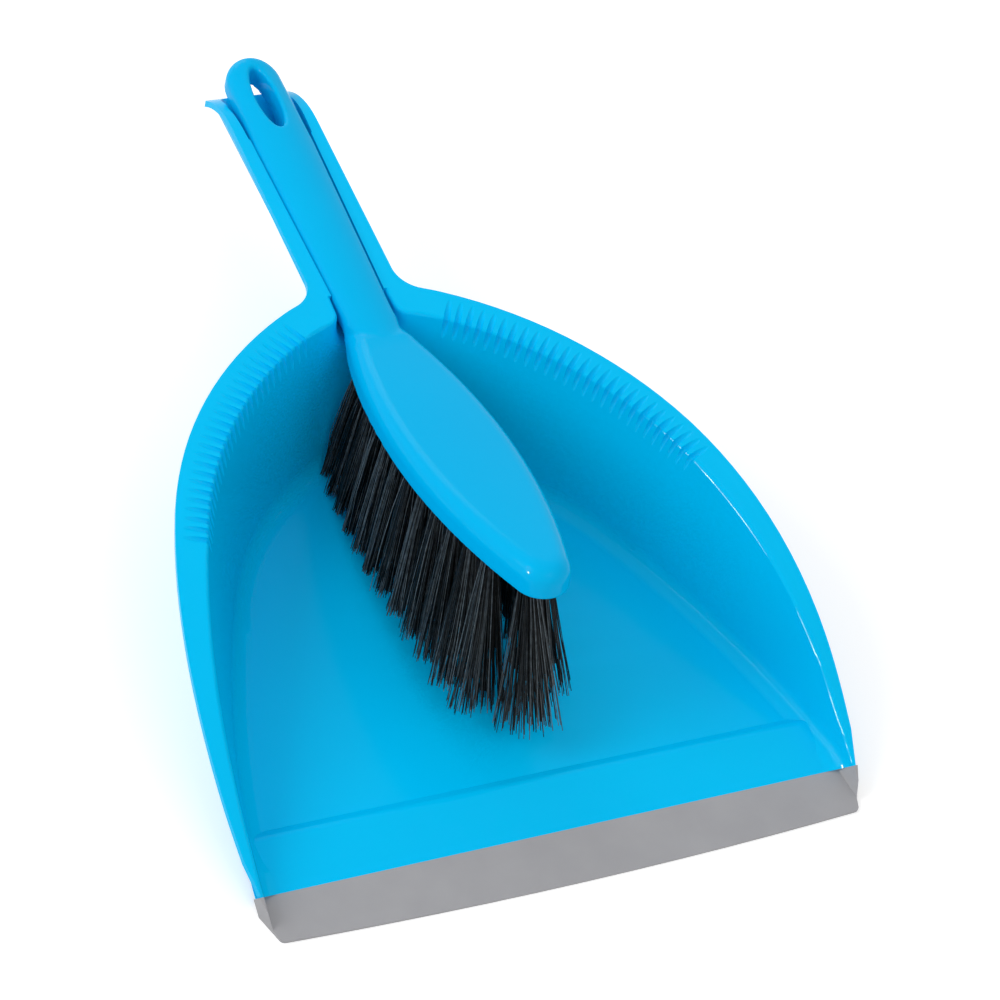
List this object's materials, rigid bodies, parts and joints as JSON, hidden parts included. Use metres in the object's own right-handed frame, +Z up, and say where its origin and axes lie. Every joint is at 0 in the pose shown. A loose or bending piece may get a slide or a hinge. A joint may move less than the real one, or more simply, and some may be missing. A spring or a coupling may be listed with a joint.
{
  "type": "dust pan and brush set",
  "caption": "Dust pan with a soft rubber lip and comb-cut flange, and a leaf-headed hand brush that nests in the trough of the pan's handle.",
  "frame": {"origin": "middle of the bounding box, on the ground under the pan", "axes": "+Y from the mouth back to the handle end; +Z up; +X to the right when looking from the mouth towards the handle"},
  "size_m": [0.236, 0.3599, 0.0831],
  "materials": {
    "pan_plastic": "gloss",
    "lip_rubber": "satin",
    "brush_plastic": "gloss",
    "bristle": "satin",
    "anchor_wire": "drawn"
  },
  "bodies": {
    "pan": {"pan_shell": "pan_plastic", "pan_lip": "lip_rubber"},
    "brush": {"brush_block": "brush_plastic", "tuft_anchors": "anchor_wire", "tuft_01_1": "bristle", "tuft_01_2": "bristle", "tuft_02_1": "bristle", "tuft_02_2": "bristle", "tuft_02_3": "bristle", "tuft_03_1": "bristle", "tuft_03_2": "bristle", "tuft_03_3": "bristle", "tuft_03_4": "bristle", "tuft_04_1": "bristle", "tuft_04_2": "bristle", "tuft_04_3": "bristle", "tuft_04_4": "bristle", "tuft_05_1": "bristle", "tuft_05_2": "bristle", "tuft_05_3": "bristle", "tuft_05_4": "bristle", "tuft_06_1": "bristle", "tuft_06_2": "bristle", "tuft_06_3": "bristle", "tuft_06_4": "bristle", "tuft_07_1": "bristle", "tuft_07_2": "bristle", "tuft_07_3": "bristle", "tuft_07_4": "bristle", "tuft_08_1": "bristle", "tuft_08_2": "bristle", "tuft_08_3": "bristle", "tuft_08_4": "bristle", "tuft_09_1": "bristle", "tuft_09_2": "bristle", "tuft_09_3": "bristle", "tuft_10_1": "bristle", "tuft_10_2": "bristle", "tuft_10_3": "bristle", "tuft_11_1": "bristle", "tuft_11_2": "bristle", "tuft_12_1": "bristle", "tuft_12_2": "bristle", "tuft_13_1": "bristle"}
  },
  "joints": [
    {"name": "brush_lift", "type": "slide", "parent": "pan", "child": "brush", "axis": [0, 0, 1], "range_m": [0, 0.1]}
  ]
}
